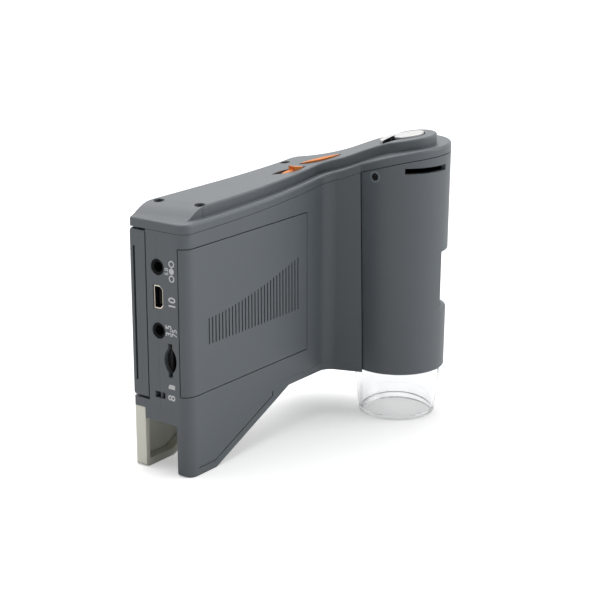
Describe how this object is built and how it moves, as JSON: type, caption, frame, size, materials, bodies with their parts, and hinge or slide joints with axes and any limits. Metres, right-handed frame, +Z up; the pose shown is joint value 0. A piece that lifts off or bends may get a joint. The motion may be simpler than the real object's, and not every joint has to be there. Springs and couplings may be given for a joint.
{
  "type": "handheld digital microscope",
  "caption": "Hand-held digital microscope with a drafted focusing barrel, clear hood, swing-out screen, sliding battery door, power slider, zoom rocker and round shutter button.",
  "frame": {"origin": "centre of the bounding box in plan, on the floor it stands on", "axes": "+X from the end wall with the sockets towards the barrel, +Y from the battery door towards the folded screen, +Z up"},
  "size_m": [0.1132, 0.0578, 0.1022],
  "materials": {
    "housing_grey": "fine matt moulded texture",
    "cover_grey": "fine matt moulded texture, satin",
    "leg_ivory": "ivory moulding",
    "clear": "clear polished plastic",
    "orange": "orange moulding",
    "silver": "satin silver",
    "dark_plastic": "dark moulding",
    "board_green": "circuit board",
    "steel": "bright steel",
    "brass": "contact spring",
    "lens_glass": "polished lens",
    "screen_glass": "display window",
    "display": "display panel",
    "led_white": "diode lens",
    "battery_grey": "cell wrap",
    "ink": "printed white",
    "bay_key": "soft key"
  },
  "bodies": {
    "housing": {"rear_shell": "housing_grey", "front_shell": "housing_grey", "bottom_cover": "housing_grey", "front_leg": "leg_ivory", "top_cover": "cover_grey", "barrel_sleeve": "housing_grey", "battery_pack": "battery_grey", "battery_contacts": "brass", "main_board": "board_green", "dc_jack": "dark_plastic", "av_jack": "dark_plastic", "usb_socket": "steel", "card_socket": "dark_plastic", "lanyard_bar": "dark_plastic", "key_switches": "dark_plastic", "hinge_pin": "steel", "cover_screws": "steel", "barrel_screw": "steel", "control_board": "board_green", "control_switches": "dark_plastic", "power_switch": "steel", "shutter_board": "board_green", "crescent_trim": "silver", "clear_tip": "clear", "led_board": "board_green", "leds": "led_white", "optics_chassis": "dark_plastic", "wheel_clip": "steel", "sensor_board": "board_green", "image_sensor": "display"},
    "screen": {"lcd_back_shell": "cover_grey", "lcd_bezel": "housing_grey", "lcd_window": "screen_glass", "lcd_module": "display", "hinge_block": "dark_plastic"},
    "door": {"battery_door": "cover_grey"},
    "slider": {"power_slider": "orange", "power_lever": "dark_plastic"},
    "rocker": {"zoom_rocker": "orange"},
    "shutter": {"shutter_button": "silver"},
    "key_menu": {"menu_key": "bay_key"},
    "key_down": {"down_key": "bay_key"},
    "key_left": {"left_key": "bay_key"},
    "key_right": {"right_key": "bay_key"},
    "key_ok": {"ok_key": "bay_key"},
    "wheel": {"focus_wheel": "dark_plastic"},
    "carriage": {"lens_carriage": "dark_plastic", "objective_lens": "lens_glass", "rear_lens": "lens_glass"}
  },
  "joints": [
    {"name": "screen_hinge", "type": "hinge", "parent": "housing", "child": "screen", "pos_m": [0.02242, 0.02553, 0.05275], "axis": [0, 0, -1], "range_deg": [0, 90]},
    {"name": "door_slide", "type": "slide", "parent": "housing", "child": "door", "axis": [-1, 0, 0], "range_m": [0, 0.005]},
    {"name": "power_slide", "type": "slide", "parent": "housing", "child": "slider", "axis": [-0.93, 0.3542, -0.0984], "range_m": [0, 0.003]},
    {"name": "zoom_tilt", "type": "hinge", "parent": "housing", "child": "rocker", "pos_m": [0.02455, 0.01145, 0.08812], "axis": [0.7887, 0.614, -0.0313], "range_deg": [-3, 3], "stiffness_Nm_per_rad": 0.05},
    {"name": "shutter_press", "type": "slide", "parent": "housing", "child": "shutter", "axis": [0.0861, -0.1491, -0.9851], "range_m": [0, 0.0008], "stiffness_N_per_m": 600, "springref_m": -0.0003},
    {"name": "menu_press", "type": "slide", "parent": "housing", "child": "key_menu", "axis": [0, -1, 0], "range_m": [0, 0.0005], "stiffness_N_per_m": 500, "springref_m": -0.0002},
    {"name": "down_press", "type": "slide", "parent": "housing", "child": "key_down", "axis": [0, -1, 0], "range_m": [0, 0.0005], "stiffness_N_per_m": 500, "springref_m": -0.0002},
    {"name": "left_press", "type": "slide", "parent": "housing", "child": "key_left", "axis": [0, -1, 0], "range_m": [0, 0.0005], "stiffness_N_per_m": 500, "springref_m": -0.0002},
    {"name": "right_press", "type": "slide", "parent": "housing", "child": "key_right", "axis": [0, -1, 0], "range_m": [0, 0.0005], "stiffness_N_per_m": 500, "springref_m": -0.0002},
    {"name": "ok_press", "type": "slide", "parent": "housing", "child": "key_ok", "axis": [0, -1, 0], "range_m": [0, 0.0005], "stiffness_N_per_m": 500, "springref_m": -0.0002},
    {"name": "focus_turn", "type": "hinge", "parent": "housing", "child": "wheel", "pos_m": [0.03922, -0.01152, 0.05], "axis": [0, 0, 1], "range_deg": [-150.5, 150.5]},
    {"name": "focus_travel", "type": "slide", "parent": "housing", "child": "carriage", "axis": [0, 0, 1], "range_m": [-0.003, 0.003]}
  ],
  "couplings": [
    {"joint": "focus_turn", "follows": "focus_travel", "rad_per_m": 872.66}
  ]
}
